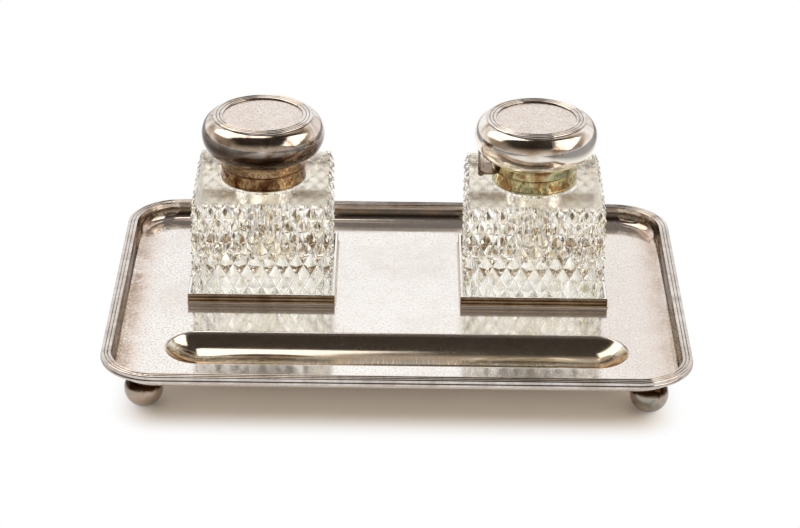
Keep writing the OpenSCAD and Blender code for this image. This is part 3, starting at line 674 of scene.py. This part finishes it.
tray_sheet()
for foot in FEET:
    ball_foot(foot)
for side in SIDES:
    solder_seam(side)
    collar_ring(side)
    bun_lid(side)

# CAD nodes whose shape is already right get their finish
FINISHES = {
    "holder": HOLDER, "bottle": GLASS, "neck_plaster": PLASTER, "collar_leaf": HINGE, "hinge_pin": HINGE,
    "lid_ring": RING, "lid_leaf": HINGE,
}
kept = {f"{side}_{name}": skin for side in SIDES for name, skin in FINISHES.items()}
kept["tray_border"] = BORDER
for name, skin in kept.items():
    for place in nodes[name].material_slots:
        place.material = skin


# Studio
def floor_paper():
    """White paper sweep: warm where the tray shades it, and plain white a finger's breadth further out.

    Its warm part has a faint mottle of 60 mm. Metal sees the white part darker, a little in front and more
    at the sides, where the studio's light falls off.
    """
    made, tree, where = material("floor_paper")
    shade_w, shade_d, shade_back, fade = TRAY_W / 2 - 26, TRAY_D / 2 - 13, 4, 24
    x, y, _ = add(tree, "SeparateXYZ", where).outputs

    # Distance from the oblong that the tray shades; over the fade beyond it the shadow's soft edge is
    # painted, blending the paper into emitted white
    off_x = add(tree, "Math", x, operation="ABSOLUTE")
    off_y = add(tree, "Math", y, shade_back * MM, operation="SUBTRACT")
    off_y = add(tree, "Math", off_y, operation="ABSOLUTE")
    beside = add(tree, "Math", off_x, shade_w * MM, operation="SUBTRACT")
    beside = add(tree, "Math", beside, 0.0, operation="MAXIMUM")
    beside = add(tree, "Math", beside, 2.0, operation="POWER")
    ahead = add(tree, "Math", off_y, shade_d * MM, operation="SUBTRACT")
    ahead = add(tree, "Math", ahead, 0.0, operation="MAXIMUM")
    ahead = add(tree, "Math", ahead, 2.0, operation="POWER")
    away = add(tree, "Math", beside, ahead, operation="ADD")
    away = add(tree, "Math", away, operation="SQRT")
    far = add(tree, "MapRange", away, 0.0, fade * MM, **SMOOTH)
    mottle = add(tree, "TexNoise", where, per_mm(60), 3.0, 0.6)
    paper = add(tree, "BsdfDiffuse", add(tree, "Mix", mottle, "EFE6DA", "F4ECE1", **COLOURS))
    in_front = add(tree, "MapRange", y, -90 * MM, 120 * MM, 0.86, 1.0, **SMOOTH)
    at_sides = add(tree, "MapRange", off_x, 140 * MM, 250 * MM, 1.0, 0.35, **SMOOTH)
    seen = add(tree, "Math", in_front, at_sides, operation="MULTIPLY")
    power = add(tree, "Mix", add(tree, "LightPath").outputs["Is Glossy Ray"], 1.0, seen)
    white = add(tree, "Emission", "FFFFFF", power)
    add(tree, "OutputMaterial", add(tree, "MixShader", far, paper, white))
    return made


def floor():
    """The table's top: one square of paper under the tray, which is no part of the object."""
    bm = bmesh.new()
    bmesh.ops.create_grid(bm, x_segments=1, y_segments=1, size=FLOOR_SIZE / 2)
    mesh = bpy.data.meshes.new("floor")
    bm.to_mesh(mesh)
    bm.free()
    mesh.materials.append(floor_paper())
    made = bpy.data.objects.new("floor", mesh)
    bpy.context.scene.collection.objects.link(made)


def softbox(name, back_left, back_right, front_right, front_left):
    """A studio softbox, given by the directions of its corners as seen from the object."""
    corners = [Vector(c).normalized() * LAMP_AWAY for c in (back_left, back_right, front_right, front_left)]
    middle = sum(corners, Vector()) / 4
    across = (corners[1] + corners[2] - corners[0] - corners[3]) / 2
    along = (corners[0] + corners[1] - corners[2] - corners[3]) / 2
    away = across.cross(along).normalized()
    if away.dot(middle) < 0:
        away, across = -away, -across
    data = bpy.data.lights.new(name, "AREA")
    data.shape = "RECTANGLE"
    data.size = across.length
    data.size_y = along.length
    data.energy = LAMP_RADIANCE * math.pi * data.size * data.size_y
    data.color = linear(LAMP_COLOUR)[:3]
    made = bpy.data.objects.new(name, data)
    level = across.normalized()
    turned_to = Matrix((level, away.cross(level), away)).transposed().to_4x4()
    made.matrix_world = Matrix.Translation(middle) @ turned_to
    bpy.context.scene.collection.objects.link(made)


def studio_room():
    """The room that the silver shows: a white backdrop low behind, grey-brown above it, dark overhead.

    The bands are given in degrees, from the table's back edge up over the top and down to the front.
    """
    middle_bands = [
        (0, "FFFFFF"), (38, "FFFDFA"), (48, "C4B6A6"), (60, "9A8B7B"), (68, "3A332C"), (135, "332D27"),
        (145, "544C43"), (154, "8E8274"), (165, "BAAFA1"), (180, "DCD3C8")]
    flank_bands = [(0, "FFFDFA"), (36, "F2E9DF"), (60, "B0A090"), (120, "8A7A68"), (180, "9A8C7C")]
    world = bpy.data.worlds.new("studio_room")
    world.use_nodes = True
    bpy.context.scene.world = world
    tree = world.node_tree
    tree.nodes.clear()
    x, y, z = add(tree, "SeparateXYZ", add(tree, "TexCoord").outputs["Generated"]).outputs
    over = add(tree, "Math", z, y, operation="ARCTAN2")
    over = add(tree, "Math", over, 1 / math.pi, operation="MULTIPLY")
    middle = add(tree, "ValToRGB", over, stops=[(turn / 180, colour) for turn, colour in middle_bands])
    flank = add(tree, "ValToRGB", over, stops=[(turn / 180, colour) for turn, colour in flank_bands])
    aside = add(tree, "MapRange", add(tree, "Math", x, operation="ABSOLUTE"), 0.6, 0.9, **SMOOTH)
    room = add(tree, "Mix", aside, middle, flank, **COLOURS)
    seen = add(tree, "LightPath").outputs
    diffuse = add(tree, "Math", seen["Is Diffuse Ray"], 0.85, operation="MULTIPLY")
    through = add(tree, "Math", seen["Transmission Depth"], 0.5, operation="GREATER_THAN")
    room = add(tree, "Mix", diffuse, room, "F4ECE2", **COLOURS)
    room = add(tree, "Mix", through, room, "FFFFFA", **COLOURS)
    room = add(tree, "Mix", seen["Is Camera Ray"], room, "FFFFFF", **COLOURS)
    add(tree, "OutputWorld", add(tree, "Background", {"Color": room, "Strength": 1.0}))


def photo_camera():
    """The photograph's view: a long lens, 26 degrees above the table, rolled by under a degree."""
    rise, yaw, roll = math.radians(CAMERA_RISE), math.radians(CAMERA_YAW), math.radians(CAMERA_ROLL)
    back = Vector((math.sin(yaw) * math.cos(rise), -math.cos(yaw) * math.cos(rise), math.sin(rise)))
    right = Vector((math.cos(yaw), math.sin(yaw), 0))
    up = back.cross(right)
    across = right * math.cos(roll) + up * math.sin(roll)
    upward = up * math.cos(roll) - right * math.sin(roll)
    place = Vector(CAMERA_AIM) * MM + back * CAMERA_AWAY * MM
    data = bpy.data.cameras.new("photo_camera")
    data.lens = FOCAL_PX * SENSOR_W / PHOTO_W
    data.sensor_width = SENSOR_W
    data.clip_end = 20
    made = bpy.data.objects.new("photo_camera", data)
    made.matrix_world = Matrix.Translation(place) @ Matrix((across, upward, back)).transposed().to_4x4()
    bpy.context.scene.collection.objects.link(made)
    bpy.context.scene.camera = made


floor()
softbox("softbox_left", (-0.72, 0.40, 0.56), (-0.08, 0.62, 0.78), (-0.03, 0.22, 0.97), (-0.82, -0.16, 0.54))
softbox("softbox_right", (0.24, 0.20, 0.95), (0.72, 0.20, 0.66), (0.93, -0.28, 0.24), (0.55, -0.70, 0.42))
studio_room()
photo_camera()
bpy.context.scene.view_settings.view_transform = "Standard"
